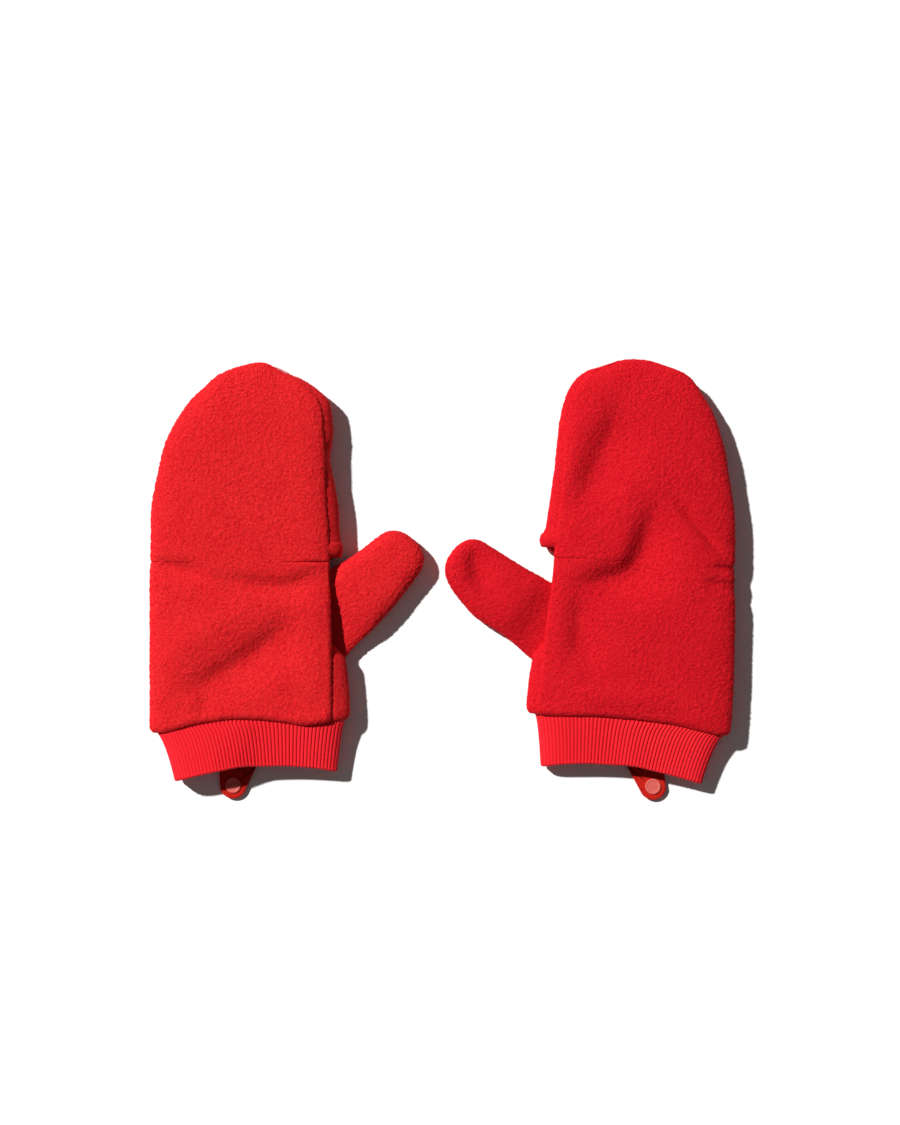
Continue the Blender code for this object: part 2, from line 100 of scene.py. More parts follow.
# Cloth relief: the pile's height and the sizes of its nubs
NAP_HEIGHT, NUB, SMALL_NUB, NAP_PATCH = 0.33, 1.6, 1.1, 14

# A valley's climb away from the light, as a share of its fall towards it
SLOW_CLIMB = 0.45

# Grid spacings of the cloth that shows and of the cloth that lies under, and how many steps of a sheet's outer
# face one step of its inner face takes
FINE, COARSE, INNER_STEP = 0.6, 1.1, 3

# How far a tip's last row stops short of a single point
CLOSED = 1e-5


# ---- Numbers and fields ----


def smooth(t):
    t = np.clip(t, 0, 1)
    return t * t * (3 - 2 * t)


def between(a, b, t):
    return a + (b - a) * t


def signed_power(value, power):
    return np.sign(value) * np.abs(value) ** power


def noise(points, size, seed):
    """Smooth value noise from -1 to 1, with features about this size in millimetres."""
    table = np.random.default_rng(seed).uniform(-1, 1, (32, 32, 32))
    p = points / size + 500.0
    cell = np.floor(p).astype(int)
    f = smooth(p - cell)
    total = np.zeros(p.shape[:-1])
    for corner in np.ndindex(2, 2, 2):
        weight = np.prod(np.where(corner, f, 1 - f), axis=-1)
        i, j, k = ((cell[..., n] + corner[n]) % 32 for n in range(3))
        total += weight * table[i, j, k]
    return total


def nap(points, seed):
    """The pile of the fleece: round nubs of two sizes with narrow valleys between them, in slow waves."""
    big, small = np.abs(noise(points, NUB, seed)), np.abs(noise(points, SMALL_NUB, seed + 1))
    patch = 1 + 0.3 * noise(points, NAP_PATCH, seed + 2)
    return NAP_HEIGHT * patch * (1.3 * big + 1.1 * small - 0.7)


def smoothed(table, x, reach):
    """A table of (place, value) pairs read at x, with its corners rounded over this reach."""
    steps = np.linspace(-reach, reach, 7)
    return sum(np.interp(x + step, *zip(*table)) for step in steps) / len(steps)


def stroke(points, path, width, height, side):
    """A ridge along a smooth path of (u, v) points, or a valley where height is below 0. It fades at both
    ends. A valley falls steeply on the side where the light comes from and climbs slowly on the other."""
    path = np.array(path, float)
    along = np.linspace(0, len(path) - 1, 8 * len(path))
    table = [tuple(zip(range(len(path)), path[:, k])) for k in (0, 1)]
    centres = np.stack([smoothed(pairs, along, 0.5) for pairs in table], axis=-1)
    fade = smooth(np.minimum(along, along[-1] - along) / along[-1] * 2.4 + 0.1)
    away = np.array([0.79 if side == "left" else -0.79, -0.61])
    gentle = 1 - SLOW_CLIMB**2 if height < 0 else 0
    height_there = np.zeros(points.shape[:-1])
    for centre, share in zip(centres, fade):
        offset = points[..., :2] - centre
        beyond = np.maximum(offset @ away, 0)
        distance = (offset**2).sum(axis=-1) - gentle * beyond**2
        height_there = np.maximum(height_there, share * np.exp(-distance / width**2))
    return height * height_there


# ---- The mitten's surfaces, as in the CAD ----


def evenly(low, high, share, half=61.0, rise=11.0, power=2 / TOP_POWER):
    """Angles from low to high whose points lie evenly round a section of this size."""
    angles = np.linspace(0, 3 * math.pi, 60001)
    across, up = (signed_power(wave(angles), power) for wave in (np.cos, np.sin))
    section = np.stack([half * across, rise * up])
    lengths = np.append(0, np.cumsum(np.linalg.norm(np.diff(section), axis=0)))
    place = between(np.interp(low, angles, lengths), np.interp(high, angles, lengths), share)
    return np.interp(place, lengths, angles)


# How far each mitten's little-finger side lies from the CAD's, at heights v
OUTER_SHIFT = {
    "left": (
        *((-94, 0.4), (-75, 0.8), (10, 0.8), (28, 1.6), (45, 1.3)),
        *((67, 2.7), (90, 1.6), (112, 3.0), (135, 0)),
    ),
    "right": (
        *((-100, -2.7), (-60, -3.2), (-20, -1.7), (10, 0.0), (40, 1.5)),
        *((70, 3.9), (88, 2.2), (104, 2.2), (120, 0)),
    ),
}


def outer_edge(v, side):
    t = np.clip((v - OUTER_ROUND_FROM) / (TIP - OUTER_ROUND_FROM), 0, 1)
    return TIP_U + (OUTER_EDGE - TIP_U) * np.sqrt(1 - t * t) + smoothed(OUTER_SHIFT[side], v, 6)


def thumb_edge(v, side):
    power = THUMB_ROUND_POWER[side]
    t = np.clip((v - THUMB_ROUND_FROM) / (TIP - THUMB_ROUND_FROM), 0, 1)
    straight = between(THUMB_EDGE, THUMB_EDGE_HIGH, smooth((v - KNUCKLE) / (THUMB_ROUND_FROM - KNUCKLE)))
    straight = straight + WRIST_FLARE * smooth((KNUCKLE - v) / (KNUCKLE - WRIST))
    return TIP_U + (straight - TIP_U) * (1 - t**power) ** (1 / power)


def tip_rounding(v, start, power):
    t = np.clip((v - start) / (TIP - start), 0, 1)
    return (1 - t**power) ** (1 / power)


def body_point(v, angle, side, inset=0.0):
    """A point of the hand or hood, going round the section at v from the thumb side over the back."""
    reach = 1 - inset / THUMB_EDGE
    low, high = outer_edge(v, side), thumb_edge(v, side)
    half, centre = (high - low) / 2, (high + low) / 2
    across, up = np.cos(angle), np.sin(angle)
    crown = between(CROWN, WRIST_CROWN, smooth((KNUCKLE - v) / (KNUCKLE - WRIST))) - SEAM_HEIGHT
    crown = crown * tip_rounding(v, *TOP_ROUNDING) * (1 - inset / (CROWN - SEAM_HEIGHT))
    depth = SEAM_HEIGHT * tip_rounding(v, *BOTTOM_ROUNDING) * (1 - inset / SEAM_HEIGHT)
    top = SEAM_HEIGHT + crown * np.abs(up) ** (2 / TOP_POWER)
    bottom = SEAM_HEIGHT - depth * np.minimum(np.abs(up) ** (2 / BOTTOM_POWER) * FLAT_BOTTOM, 1)
    power = np.where(up >= 0, 2 / TOP_POWER, 2 / BOTTOM_POWER)
    u = centre + half * reach * signed_power(across, power)
    tilt = WRIST_TILT * smooth((KNUCKLE - v) / (KNUCKLE - WRIST))
    return np.stack([u, v + tilt * u, np.where(up >= 0, top, bottom)], axis=-1)


def back_point(v, angle, side):
    """A point of the upper layer, whose thumb side is held up a little."""
    points = body_point(v, angle, side)
    points[..., 2] += EDGE_LIFT[side] * smooth((points[..., 0] - 25) / 28) * tip_rounding(v, *TOP_ROUNDING)
    return points


def seam_angle(v, side):
    """Where the thumb-side seam runs: straight up the back of the hand, then close to the hood's edge."""
    low, high = outer_edge(v, side), thumb_edge(v, side)
    seam = smoothed(SEAM_U[side], v, 8)
    share = np.minimum((seam - (high + low) / 2) / ((high - low) / 2), SEAM_SHARE)
    return np.arccos(share ** (TOP_POWER / 2))


def palm_point(v, angle, side, out=0.0):
    """A point of the lower layer, which stands out past the side of the hand by this much. Past the side it
    turns in under the edge of the upper layer."""
    points = body_point(v, np.minimum(angle, 2 * math.pi), side)
    points[..., 0] += out * smooth((angle - math.radians(280)) / math.radians(60))
    turn = np.clip((angle - 2 * math.pi) / (LAP_TURN * seam_angle(v, side)), 0, 1)
    seam = body_point(v, seam_angle(v, side), side)
    centre = (outer_edge(v, side) + thumb_edge(v, side)) / 2
    under = centre + (seam[..., 0] - centre) * (1 - LAP_DEPTH)
    points[..., 0] = between(points[..., 0], under, 1 - np.cos(turn * math.pi / 2))
    tuck = (LAP_TUCK + EDGE_LIFT[side]) * turn**2
    rise = LAP_RISE * np.sin(np.minimum(1.3 * turn, 1) * math.pi / 2) + tuck
    points[..., 2] += rise * tip_rounding(v, *TOP_ROUNDING)
    return points


def cuff_point(v, angle, side, inset=0.0):
    t = np.clip((WRIST - v) / (WRIST - CUFF_END), 0, 1)
    low = between(CUFF_TOP_EDGES[0], CUFF_END_EDGES[0], t**0.55)
    high = between(CUFF_TOP_EDGES[1], CUFF_END_EDGES[1], t**0.55)
    base = between(CUFF_LIFT, CUFF_END_LIFT, smooth((WRIST - 1 - v) / 11))
    crown = between(CUFF_TOP_CROWN, CUFF_END_CROWN, t)
    middle, half, rise = (low + high) / 2, (high - low) / 2, (crown - base) / 2
    across, up = np.cos(angle), np.sin(angle)
    power = np.where(up >= 0, 2 / TOP_POWER, 2 / BOTTOM_POWER)
    u = middle + (half - inset) * signed_power(across, power)
    z = base + rise + (rise - inset) * signed_power(up, power)
    droop = CUFF_DROOP * t * ((u - middle) / half) ** 2
    lift = CUFF_SIDE_LIFT[side] * smooth((12 - u) / 32) * smooth((z - 5) / 8) * t
    return np.stack([u + CUFF_SHIFT[side], v + WRIST_TILT * u - droop, z + lift], axis=-1)


def thumb_point(s, angle, side):
    """A point of the thumb, s from its pivot. Its root is flat and lies in the palm."""
    straight = THUMB_LENGTH - THUMB_TIP_RADIUS
    t = np.clip((s - straight) / THUMB_TIP_RADIUS, 0, 1)
    rounding = (1 - t**2.3) ** (1 / 2.3)
    across, up = np.cos(angle), np.sin(angle)
    far, near = (smoothed(table, s, 5) for table in THUMB_EDGES[side])
    n = np.where(across > 0, far, near) * rounding * signed_power(across, 2 / THUMB_POWER)
    crown = between(THUMB_ROOT_CROWN, THUMB_CROWN, smooth((s + 2) / 20)) - THUMB_SEAM_HEIGHT
    seam_height = THUMB_SEAM_HEIGHT - 1.5 * smooth((6 - s) / 20)
    top = seam_height + crown * rounding**0.7 * np.abs(up) ** (2 / THUMB_POWER)
    floor = 3.2 * smooth((4 - s) / 14)
    fall = np.minimum(np.abs(up) ** (2 / BOTTOM_POWER) * FLAT_BOTTOM, 1)
    bottom = seam_height - (seam_height - floor) * rounding**0.3 * fall
    c, w = math.cos(THUMB_ANGLE[side]), math.sin(THUMB_ANGLE[side])
    u, v = THUMB_PIVOT[0] + s * c - n * w, THUMB_PIVOT[1] + s * w + n * c
    return np.stack([u, v, np.where(up >= 0, top, bottom)], axis=-1)


# ---- From the mitten's frame to the table ----


def joint(name):
    return next(j for j in frame["joints"] if j["name"] == name)


def placed(points, side):
    """Points of a mitten's frame in millimetres, as metres on the table."""
    hinge = joint(f"{side}_hood_flip")
    sign = 1 if side == "left" else -1
    across, along = np.array(hinge["axis"][:2]), np.array([-hinge["axis"][1], hinge["axis"][0]])
    flat = np.array(hinge["pos_m"][:2]) + sign * points[..., :1] * MM * across
    flat = flat + (points[..., 1:2] - KNUCKLE) * MM * along
    return np.concatenate([flat, points[..., 2:] * MM], axis=-1)


# ---- Meshes ----


def make_object(name, points, faces, material, side):
    """One closed piece from points in a mitten's frame, with its faces turned outwards."""
    mesh = bpy.data.meshes.new(f"{side}_{name}")
    mesh.from_pydata(placed(points, side), [], faces)
    mesh.calc_loop_triangles()
    places = np.empty(len(mesh.vertices) * 3, np.float32)
    corners = np.empty(len(mesh.loop_triangles) * 3, np.int32)
    mesh.vertices.foreach_get("co", places)
    mesh.loop_triangles.foreach_get("vertices", corners)
    if np.linalg.det(places.reshape(-1, 3)[corners.reshape(-1, 3)].astype(float)).sum() < 0:
        mesh.flip_normals()
    mesh.shade_smooth()
    mesh.set_sharp_from_angle(angle=math.radians(75))
    mesh.materials.append(material)
    piece = bpy.data.objects.new(mesh.name, mesh)
    bpy.context.scene.collection.objects.link(piece)
    return piece


def normals_of(grid):
    normal = np.cross(np.gradient(grid, axis=1), np.gradient(grid, axis=0))
    return normal / np.maximum(np.linalg.norm(normal, axis=-1, keepdims=True), 1e-9)


def quads(index):
    """Faces of a grid of vertex numbers, rows running along and columns across."""
    corners = (index[:-1, :-1], index[1:, :-1], index[1:, 1:], index[:-1, 1:])
    return np.stack(corners, axis=-1).reshape(-1, 4).tolist()


def counts(across, along, spacing):
    """Rows and columns for a panel of this size, in whole steps of the inner grid."""
    return tuple(INNER_STEP * max(2, round(size / spacing / INNER_STEP)) for size in (along, across))


def sheet(name, side, surface, relief, size, spacing, material, seed, thickness=FLEECE, middle=SEAM_HEIGHT):
    """A closed sheet of fleece. surface(a, b) gives its outer face for shares a across and b along.
    relief(points, a, b) gives the height of its folds and seams, and the nap goes on top. middle is a height
    inside the piece, which tells the outer face from the inner one."""
    rows, columns = counts(*size, spacing)
    b, a = np.meshgrid(np.linspace(0, 1, rows + 1), np.linspace(0, 1, columns + 1), indexing="ij")
    base = surface(a, b)
    facing = normals_of(base)
    outwards = base - [*base.mean(axis=(0, 1))[:2], middle]
    facing *= 1 if (facing * outwards).sum() > 0 else -1
    draped = base + facing * relief(base, a, b)[..., None]
    face = draped + facing * nap(draped, seed)[..., None]
    back = (draped - facing * thickness)[::INNER_STEP, ::INNER_STEP]
    outer = np.arange(face[..., 0].size).reshape(face.shape[:2])
    inner = outer.size + np.arange(back[..., 0].size).reshape(back.shape[:2])
    faces = quads(outer) + quads(inner[::-1])
    for fine, coarse in zip(borders(outer), borders(inner)):
        for k in range(len(coarse) - 1):
            edge = fine[INNER_STEP * k : INNER_STEP * (k + 1) + 1]
            faces.append([*edge.tolist(), int(coarse[k + 1]), int(coarse[k])])
    points = np.concatenate([face.reshape(-1, 3), back.reshape(-1, 3)])
    return make_object(name, points, faces, material, side)


def borders(index):
    """The four edges of a grid of vertex numbers, one after another round it."""
    return index[0, :], index[:, -1], index[-1, ::-1], index[::-1, 0]


def loop_band(name, side, grid, material, ring=True):
    """A closed skin. Each row of the grid is a closed loop. The rows run round a ring or from end to end."""
    rows, columns = grid.shape[:2]
    index = np.arange(rows * columns).reshape(rows, columns)
    around = np.concatenate([index, index[:, :1]], axis=1)
    if ring:
        around = np.concatenate([around, around[:1]], axis=0)
    faces = quads(around)
    if not ring:
        faces += [index[0].tolist(), index[-1, ::-1].tolist()]
    return make_object(name, grid.reshape(-1, 3), faces, material, side)


def turned(name, side, profile, centre, material, segments=48):
    """A turned piece. The profile lists (radius, height) from the axis round to the axis."""
    around = np.linspace(0, 2 * math.pi, segments, endpoint=False)
    points, rings = [], []
    for radius, height in profile:
        steps = around if radius else around[:1]
        rings.append([len(points) + k for k in range(len(steps))])
        for angle in steps:
            across, along = radius * math.cos(angle), radius * math.sin(angle)
            points.append((centre[0] + across, centre[1] + along, height))
    faces = []
    for low, high in zip(rings, rings[1:]):
        for k in range(segments):
            after = k + 1
            corners = [low[k % len(low)], low[after % len(low)], high[after % len(high)], high[k % len(high)]]
            if len(set(corners)) > 2:
                faces.append(tuple(dict.fromkeys(corners)))
    return make_object(name, np.array(points), faces, material, side)


# ---- Materials ----


def new_material(name, roughness, **sockets):
    material = bpy.data.materials.new(name)
    material.use_nodes = True
    tree = material.node_tree
    shader = tree.nodes["Principled BSDF"]
    shader.inputs["Roughness"].default_value = roughness
    for socket, value in sockets.items():
        shader.inputs[socket.replace("_", " ")].default_value = value
    return material, tree, shader


def textured(tree, kind, scale, **settings):
    """A procedural texture laid on the piece's own coordinates. Scale is in features per metre."""
    coordinates = tree.nodes.get("Coordinates") or tree.nodes.new("ShaderNodeTexCoord")
    coordinates.name = "Coordinates"
    texture = tree.nodes.new(kind)
    texture.inputs["Scale"].default_value = scale
    for socket, value in settings.items():
        texture.inputs[socket].default_value = value
    tree.links.new(coordinates.outputs["Object"], texture.inputs["Vector"])
    return texture


def ramped(tree, source, dark, light, low=0.3, high=0.7):
    ramp = tree.nodes.new("ShaderNodeValToRGB")
    for element, place, colour in zip(ramp.color_ramp.elements, (low, high), (dark, light)):
        element.position = place
        element.color = (*colour, 1)
    tree.links.new(source, ramp.inputs["Fac"])
    return ramp.outputs["Color"]


def mixed(tree, one, other, share, blend="MIX"):
    mix = tree.nodes.new("ShaderNodeMix")
    mix.data_type = "RGBA"
    mix.blend_type = blend
    mix.inputs["Factor"].default_value = share
    tree.links.new(one, mix.inputs["A"])
    tree.links.new(other, mix.inputs["B"])
    return mix.outputs["Result"]


def bumped(tree, shader, heights, distance):
    """Chains bump nodes, one for each (height socket, strength)."""
    normal = None
    for height, strength in heights:
        bump = tree.nodes.new("ShaderNodeBump")
        bump.inputs["Strength"].default_value = strength
        bump.inputs["Distance"].default_value = distance
        tree.links.new(height, bump.inputs["Height"])
        if normal:
            tree.links.new(normal, bump.inputs["Normal"])
        normal = bump.outputs["Normal"]
    tree.links.new(normal, shader.inputs["Normal"])


def fleece_material(name, dark, light):
    """Napped polar fleece: nubs painted darker red in their pits as painted shade and lighter on their tops as
    painted light, random patches of tone, fine fibres in the bump, and a faint sheen at grazing angles.
    """
    material, tree, shader = new_material(name, 0.85, Sheen_Weight=0.06, Sheen_Roughness=0.4)
    shader.inputs["Sheen Tint"].default_value = (1.0, 0.25, 0.22, 1)
    shader.inputs["Specular IOR Level"].default_value = 0.06
    nubs = textured(tree, "ShaderNodeTexNoise", 800, Detail=3.0, Roughness=0.65)
    patches = textured(tree, "ShaderNodeTexNoise", 55, Detail=2.0)
    fibres = textured(tree, "ShaderNodeTexNoise", 2600, Detail=2.0, Roughness=0.7)
    # The nubs' colour follows the same noise as their bump: painted shade in the pits between them, painted
    # light on their tops.
    painted_nub_shade = ramped(tree, nubs.outputs["Fac"], dark, light, 0.36, 0.60)
    worn = ramped(tree, patches.outputs["Fac"], dark, light, 0.2, 0.7)
    tree.links.new(mixed(tree, painted_nub_shade, worn, 0.2), shader.inputs["Base Color"])
    bumped(tree, shader, [(nubs.outputs["Fac"], 0.5), (fibres.outputs["Fac"], 0.35)], 0.0006)
    return material


def rib_material():
    """Rib knit: a little colour from the yarn, its fuzz in the bump, and a faint sheen."""
    material, tree, shader = new_material("rib_knit", 0.8, Sheen_Weight=0.12, Sheen_Roughness=0.4)
    shader.inputs["Sheen Tint"].default_value = (1.0, 0.3, 0.35, 1)
    shader.inputs["Specular IOR Level"].default_value = 0.25
    yarn = textured(tree, "ShaderNodeTexNoise", 1500, Detail=2.0)
    tone = ramped(tree, yarn.outputs["Fac"], (0.68, 0.004, 0.012), (0.88, 0.012, 0.024))
    tree.links.new(tone, shader.inputs["Base Color"])
    bumped(tree, shader, [(yarn.outputs["Fac"], 0.3)], 0.0003)
    return material


def thread_material():
    material, tree, shader = new_material("sewing_thread", 0.6)
    ply = textured(tree, "ShaderNodeTexWave", 900, Distortion=2.0)
    tone = ramped(tree, ply.outputs["Fac"], (0.45, 0.008, 0.008), (0.70, 0.020, 0.018))
    tree.links.new(tone, shader.inputs["Base Color"])
    bumped(tree, shader, [(ply.outputs["Fac"], 0.4)], 0.0002)
    return material


def snap_material():
    """Moulded resin, a little cloudy and pinker than the cloth, with a soft gloss."""
    material, tree, shader = new_material("snap_resin", 0.45, Subsurface_Weight=0.3, Subsurface_Scale=0.002)
    shader.inputs["Specular IOR Level"].default_value = 0.3
    shader.inputs["Subsurface Radius"].default_value = (1.0, 0.3, 0.25)
    cloud = textured(tree, "ShaderNodeTexNoise", 300, Detail=2.0)
    tone = ramped(tree, cloud.outputs["Fac"], (0.62, 0.10, 0.08), (0.72, 0.15, 0.12))
    tree.links.new(tone, shader.inputs["Base Color"])
    rub = textured(tree, "ShaderNodeTexNoise", 900, Detail=1.0)
    bumped(tree, shader, [(rub.outputs["Fac"], 0.08)], 0.0002)
    return material


# ---- Folds, seams and drape of the cloth ----

# Each fold is a path of (u, v) points on the back of the mitten, its half width and its height
FOLDS = {
    "left": (
        (((-60, 14), (-47, 9), (-36, 7), (-20, 5)), 5.5, -3.0),
        (((-24, 3), (0, -1), (20, -4), (34, -4), (50, 4), (56, 8)), 6, -3.0),
        (((-44, -78), (-30, -71), (-15, -64), (3, -53), (18, -42), (30, -32), (40, -26)), 8.5, -4.0),
        (((-54, -56), (-34, -40), (-6, -25), (30, -17)), 12, 1.6),
        (((-50, 82), (-36, 64), (-24, 46)), 9, -1.0),
        (((-22, -76), (-25, -82), (-26, -88)), 4, -1.0),
        (((24, -70), (44, -80), (56, -82)), 6, -1.2),
    ),
    "right": (
        (((21, 122), (21, 104), (28, 86), (34, 69), (39, 54), (46, 38)), 10.5, -4.9),
        (((46, 112), (50, 84), (54, 44)), 7, 0.8),
        (((6, 76), (14, 60), (24, 36)), 14, 1.3),
        (((-10, 56), (-4, 40), (-1, 26), (3, 12), (11, 2), (24, -1), (37, -5), (50, -8)), 8.5, -6.4),
        (((-10, 62), (-28, 44), (-42, 29), (-60, 11)), 3.5, -2.4),
        (((-42, 11), (-54, 10), (-64, 11)), 3, -1.5),
        (((-40, 3), (-52, -1), (-64, 0)), 3.5, -1.8),
        (((40, -10), (39, -32), (38, -62)), 9, -4.0),
        (((50, -77), (10, -77), (-34, -82)), 7, 1.4),
    ),
}
THUMB_FOLDS = {
    "left": ((((98, -4), (84, 12)), 7, -0.6),),
    "right": ((((112, 16), (109, 4), (105, -12)), 6.5, -3.6),),
}

# How far the thumb reaches to each side of its axis, at distances from its pivot: first on the side away from
# the wrist, then on the side near it
THUMB_EDGES = {
    "left": (
        ((-24, 24), (8, 28), (22, 28), (31, 24), (40, 21.6), (58, 18)),
        ((-24, 18.3), (-7, 17.7), (10, 19.9), (31, 20.2), (58, 18.4)),
    ),
    "right": (
        ((-24, 21), (7, 22), (25, 20), (53, 18.6), (62, 18.6)),
        ((-24, 28), (-8, 26.5), (12, 24.4), (34, 26.0), (51, 21.5), (62, 17.5)),
    ),
}

# Where the hood's hem ends in a knob on the thumb side, past the knuckles, and the knob's half length
HEM_KNOB = {"left": (8.5, 5.6), "right": (11.2, 4.8)}

# How the edge at the wrist dips and rises, at places across the hand
WRIST_WAVE = {
    "left": ((-60, -3.2), (-50, -2.3), (-31, 2.1), (-9, 4.3), (12, 3.0), (29, 0), (43, -3.0), (67, -2.4)),
    "right": ((-60, -1.8), (-46, 0.3), (-25, 3.2), (0, 3.4), (25, 2.9), (45, 0.5), (66, -1.8)),
}

# How far the hood's lower layer stands out past the seam on the thumb side, at heights v
PEEK = {
    "left": (
        *((12, 3.5), (26, 3.8), (31, 3.2), (50, 4.0), (64, 2.4)),
        *((80, -0.6), (98, 3.4), (116, 3.0), (131, 0.0), (145, 0.0)),
    ),
    "right": (
        *((12, 5.0), (26, 5.4), (31, 3.4), (60, 3.0), (80, 2.0)),
        *((100, 1.6), (124, 1.8), (138, 0.3), (145, 0.0)),
    ),
}

# How deep the seam across the knuckles lies at its ends
KNUCKLE_DITCH = {"left": 1.6, "right": 0.5}

# Where the hood's outline is pushed in or out: a place, its reach and the shift there
NUDGES = {
    "left": (
        ((30, 139), 13, (-4.0, -3.5)),
        ((54, 116), 12, (2.5, 1.0)),
        ((1, 144), 13, (0, -2.4)),
        ((-26, 130), 13, (1.8, -2.0)),
        ((-13, 140), 8, (0.3, -1.4)),
    ),
    "right": (
        ((-22, 137), 14, (-3.5, 1.5)),
        ((-44, 112), 14, (-1.5, 0.0)),
        ((34, 142), 12, (0, -3.0)),
    ),
}

# Past the knuckles: where the hood's underside begins, where its hem's middle lies, and how far its top bends
HOOD_PALM_START, HEM_MIDDLE, BEND_REACH = 9, 6, 9.0

# How much longer a dome's rows are taken to be, since they crowd towards its tip
DOME_STRETCH = 1.3

# How far from the tip, in millimetres, the relief of a hood piece fades out
TIP_FADE = 5


def folds(points, side):
    return sum(stroke(points, *fold, side) for fold in FOLDS[side])


def curl(distance, radius, depth):
    """How far the cloth's edge rolls under, this far from the edge."""
    share = np.clip(1 - distance / radius, 0, 1)
    return -depth * (1 - np.sqrt(1 - share * share))


def nudged(points, side):
    points = points.copy()
    for centre, reach, shift in NUDGES[side]:
        away = np.linalg.norm(points[..., :2] - np.array(centre, float), axis=-1)
        points[..., :2] += np.exp(-((away / reach) ** 2))[..., None] * np.array(shift)
    return points


def under_the_folds(points, angle, side):
    """The lap below the edge of the upper layer dips with that layer's folds."""
    points[..., 2] += folds(points, side) * smooth((angle - 2 * math.pi) / 0.3)
    return points


def peek(v, side):
    return smoothed(PEEK[side], v, 2)


def knuckle_ditch(u, distance, side):
    """The seam across the knuckles shows best near its two ends."""
    ends = 0.4 * np.exp(-(((u + 60) / 6) ** 2)) + np.exp(-(((u - 48) / 12) ** 2))
    return curl(distance, 2.2, KNUCKLE_DITCH[side] * ends)


def at_wrist(points, side):
    """The hand's edge at the wrist: wavy, with its two corners rounded."""
    points = points.copy()
    low = np.clip((WRIST + 8 - points[..., 1] + WRIST_TILT * points[..., 0]) / 9, 0, 1)
    side_share = np.clip((points[..., 0] - 5) / 60, -1, 1)
    near_wrist = smooth((WRIST + 24 - points[..., 1]) / 24)
    points[..., 1] += smoothed(WRIST_WAVE[side], points[..., 0], 6) * near_wrist
    points[..., 0] -= 4.5 * side_share**3 * (1 - np.sqrt(1 - low * low))
    return points


# ---- The fleece pieces ----


def hand_back(side, material):
    size = (120, KNUCKLE - WRIST)

    def surface(a, b):
        v = between(WRIST - 1, KNUCKLE, b)
        return at_wrist(back_point(v, evenly(seam_angle(v, side), math.pi, a), side), side)

    def relief(points, a, b):
        edges = curl(a * size[0], 3.5, 3.2) + curl((1 - a) * size[0], 3, 1.2) + curl(b * size[1], 5, 4.4)
        return edges + knuckle_ditch(points[..., 0], (1 - b) * size[1], side) + folds(points, side)

    piece = sheet("hand_back", side, surface, relief, size, FINE, material, 10)
    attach(piece, f"{side}_hand")
    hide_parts(f"{side}_back_panel", f"{side}_knuckle_seam")


def hand_palm(side, material):
    size = (158, KNUCKLE - WRIST)

    def surface(a, b):
        v = between(WRIST - 1, KNUCKLE, b)
        angle = evenly(math.pi, 2 * math.pi + LAP_TURN * seam_angle(v, side), a)
        points = under_the_folds(palm_point(v, angle, side), angle, side)
        beside_thumb = smooth((v + 56) / 18)
        squeeze = 1 - beside_thumb * (1 - (THUMB_GAP_EDGE - 40) / (thumb_edge(v, side) - 40))
        points[..., 0] = np.where(points[..., 0] > 40, between(40, points[..., 0], squeeze), points[..., 0])
        return at_wrist(points, side)

    def relief(points, a, b):
        return curl(a * size[0], 3, 1.2) + curl(b * size[1], 4.5, 2.6) + curl((1 - b) * size[1], 2, 0.8)

    piece = sheet("hand_palm", side, surface, relief, size, COARSE, material, 20)
    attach(piece, f"{side}_hand")
    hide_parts(f"{side}_palm_panel")


def hood_top(side, material):
    size = (120, TIP - KNUCKLE)

    def surface(a, b):
        v = between(KNUCKLE, TIP - CLOSED, np.sin(b * math.pi / 2))
        return nudged(back_point(v, evenly(seam_angle(v, side), math.pi, a), side), side)

    def relief(points, a, b):
        left = TIP - points[..., 1]
        width = np.clip(left * 3, 6, size[0])
        edges = (curl(a * width, 3.2, 3.0) + curl((1 - a) * width, 3, 1.2)) * smooth(left / TIP_FADE)
        return edges + knuckle_ditch(points[..., 0], points[..., 1] - KNUCKLE, side) + folds(points, side)

    grid_size = (size[0], size[1] * DOME_STRETCH)
    piece = sheet("hood_top_cloth", side, surface, relief, grid_size, FINE, material, 10)
    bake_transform(piece)
    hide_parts(f"{side}_hood_top")


def hood_palm(side, material):
    start = KNUCKLE + HOOD_PALM_START
    size = (158, TIP - start)

    def surface(a, b):
        v = between(start, TIP - CLOSED, np.sin(b * math.pi / 2))
        angle = evenly(math.pi, 2 * math.pi + LAP_TURN * seam_angle(v, side), a)
        return nudged(under_the_folds(palm_point(v, angle, side, peek(v, side)), angle, side), side)

    def relief(points, a, b):
        left = TIP - points[..., 1]
        width = np.clip(left * 3.5, 6, size[0])
        return curl(a * width, 3, 1.2) * smooth(left / TIP_FADE)

    grid_size = (size[0], size[1] * DOME_STRETCH)
    piece = sheet("hood_palm_cloth", side, surface, relief, grid_size, COARSE, material, 20)
    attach(piece, f"{side}_hood")
    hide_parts(f"{side}_hood_palm")


